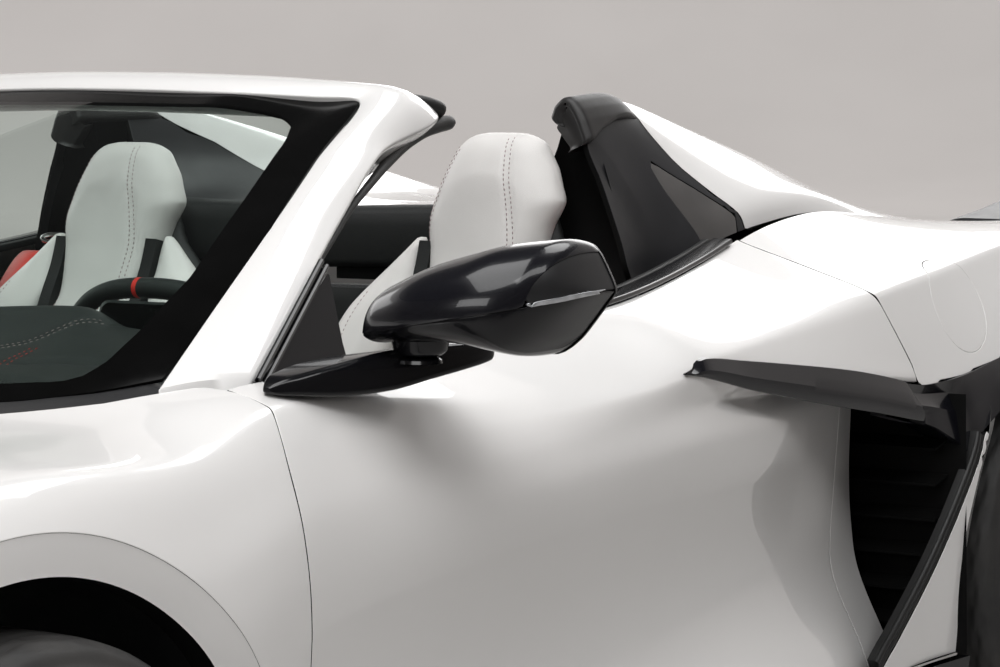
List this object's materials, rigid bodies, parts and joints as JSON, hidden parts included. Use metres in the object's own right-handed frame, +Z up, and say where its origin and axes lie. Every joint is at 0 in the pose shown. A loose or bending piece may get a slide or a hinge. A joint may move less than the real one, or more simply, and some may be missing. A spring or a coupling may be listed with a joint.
{
  "type": "roadster convertible",
  "caption": "Open-top mid-engined sports car with twin nacelles behind the seats, side intakes, opening doors, lids and steered wheels.",
  "frame": {"origin": "on the ground under the middle of the car's box", "axes": "+Z up, nose towards -Y, the car's left (driver's) side +X"},
  "size_m": [2.236, 4.688, 1.238],
  "materials": {
    "body_paint": "gloss",
    "black_gloss": "gloss",
    "black_plastic": "matt",
    "leather": "matt",
    "glass": "clear",
    "lamp_lens": "clear",
    "rubber_tyre": "matt",
    "wheel_alloy": "satin",
    "metal": "satin"
  },
  "bodies": {
    "chassis": {"front_bumper": "body_paint", "headlamps": "lamp_lens", "front_wings": "body_paint", "trunk_tubs": "black_plastic", "windscreen_frame": "body_paint", "cowl": "black_plastic", "windscreen": "glass", "rear_wings": "body_paint", "intake_ducts": "black_plastic", "rear_bumper": "body_paint", "tail_lamps": "lamp_lens", "spoiler": "black_gloss", "diffuser": "black_plastic", "exhaust": "metal", "side_skirts": "black_plastic", "arch_liners": "black_plastic", "cabin_tub": "black_plastic", "engine": "metal", "dashboard": "leather", "center_console": "black_plastic", "seats": "leather", "front_subframe": "metal", "rear_subframe": "metal"},
    "front_lid": {"front_lid": "body_paint"},
    "rear_lid": {"rear_lid": "body_paint"},
    "fuel_door": {"fuel_door": "body_paint"},
    "door_left": {"door_left": "body_paint", "door_trim_left": "leather", "belt_trim_left": "black_gloss"},
    "door_right": {"door_right": "body_paint", "door_trim_right": "leather", "belt_trim_right": "black_gloss"},
    "mirror_left": {"mirror_left": "black_gloss"},
    "mirror_right": {"mirror_right": "black_gloss"},
    "steering_wheel": {"steering_wheel": "leather"},
    "knuckle_fl": {"knuckle_fl": "metal"},
    "knuckle_fr": {"knuckle_fr": "metal"},
    "wheel_fl": {"tyre_fl": "rubber_tyre", "wheel_fl": "wheel_alloy"},
    "wheel_fr": {"tyre_fr": "rubber_tyre", "wheel_fr": "wheel_alloy"},
    "wheel_rl": {"tyre_rl": "rubber_tyre", "wheel_rl": "wheel_alloy"},
    "wheel_rr": {"tyre_rr": "rubber_tyre", "wheel_rr": "wheel_alloy"}
  },
  "joints": [
    {"name": "steer_left", "type": "hinge", "parent": "chassis", "child": "knuckle_fl", "pos_m": [0.735, -1.334, 0.336], "axis": [0, 0, 1], "range_deg": [-33, 33]},
    {"name": "steer_right", "type": "hinge", "parent": "chassis", "child": "knuckle_fr", "pos_m": [-0.735, -1.334, 0.336], "axis": [0, 0, 1], "range_deg": [-33, 33]},
    {"name": "steering_turn", "type": "hinge", "parent": "chassis", "child": "steering_wheel", "pos_m": [0.376, -0.375, 0.786], "axis": [0, 0.9135, 0.4067], "range_deg": [-500, 500]},
    {"name": "spin_fl", "type": "hinge", "parent": "knuckle_fl", "child": "wheel_fl", "pos_m": [0.822, -1.334, 0.336], "axis": [1, 0, 0], "continuous": true},
    {"name": "spin_fr", "type": "hinge", "parent": "knuckle_fr", "child": "wheel_fr", "pos_m": [-0.822, -1.334, 0.336], "axis": [1, 0, 0], "continuous": true},
    {"name": "spin_rl", "type": "hinge", "parent": "chassis", "child": "wheel_rl", "pos_m": [0.838, 1.388, 0.353], "axis": [1, 0, 0], "continuous": true},
    {"name": "spin_rr", "type": "hinge", "parent": "chassis", "child": "wheel_rr", "pos_m": [-0.838, 1.388, 0.353], "axis": [1, 0, 0], "continuous": true},
    {"name": "door_left_open", "type": "hinge", "parent": "chassis", "child": "door_left", "pos_m": [0.9, -0.815, 0.5], "axis": [0, 0, -1], "range_deg": [0, 62]},
    {"name": "door_right_open", "type": "hinge", "parent": "chassis", "child": "door_right", "pos_m": [-0.9, -0.815, 0.5], "axis": [0, 0, 1], "range_deg": [0, 62]},
    {"name": "mirror_left_fold", "type": "hinge", "parent": "door_left", "child": "mirror_left", "pos_m": [0.95, -0.625, 0.9], "axis": [0, 0, 1], "range_deg": [0, 55]},
    {"name": "mirror_right_fold", "type": "hinge", "parent": "door_right", "child": "mirror_right", "pos_m": [-0.95, -0.625, 0.9], "axis": [0, 0, -1], "range_deg": [0, 55]},
    {"name": "front_lid_open", "type": "hinge", "parent": "chassis", "child": "front_lid", "pos_m": [0, -1.003, 0.828], "axis": [-1, 0, 0], "range_deg": [0, 60]},
    {"name": "rear_lid_open", "type": "hinge", "parent": "chassis", "child": "rear_lid", "pos_m": [0, 1.986, 0.944], "axis": [-1, 0, 0], "range_deg": [0, 45]},
    {"name": "fuel_door_open", "type": "hinge", "parent": "chassis", "child": "fuel_door", "pos_m": [0.921, 0.977, 0.828], "axis": [0.361, 0, -0.9326], "range_deg": [0, 85]}
  ],
  "couplings": [
    {"joint": "steer_right", "follows": "steer_left", "ratio": 1},
    {"joint": "steering_turn", "follows": "steer_left", "ratio": 15}
  ]
}
